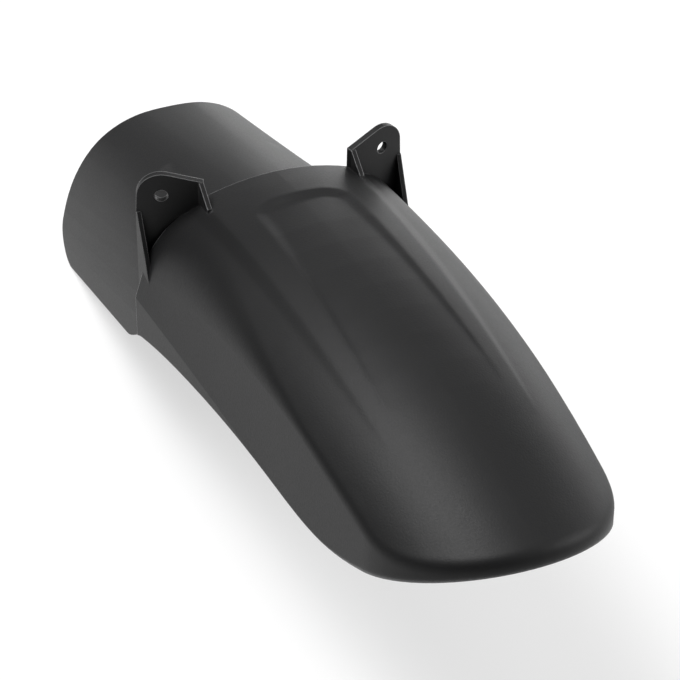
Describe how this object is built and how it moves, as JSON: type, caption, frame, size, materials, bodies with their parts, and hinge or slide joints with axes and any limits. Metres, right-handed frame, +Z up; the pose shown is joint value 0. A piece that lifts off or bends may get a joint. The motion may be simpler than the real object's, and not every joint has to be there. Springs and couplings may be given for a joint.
{
  "type": "motorcycle rear fender",
  "caption": "Moulded black plastic rear fender for a motorcycle, with a stepped front section, raised ridges and bolt ears.",
  "frame": {"origin": "under the middle of the fender's bounding box, at the level of its lowest point", "axes": "+X runs to the tail, Y runs across the fender and +Z is up, with the crown level as it is mounted"},
  "size_m": [0.4919, 0.158, 0.1709],
  "materials": {
    "grained_plastic": "fine grained, matte"
  },
  "bodies": {
    "root": {"rear_fender": "grained_plastic"}
  },
  "joints": []
}
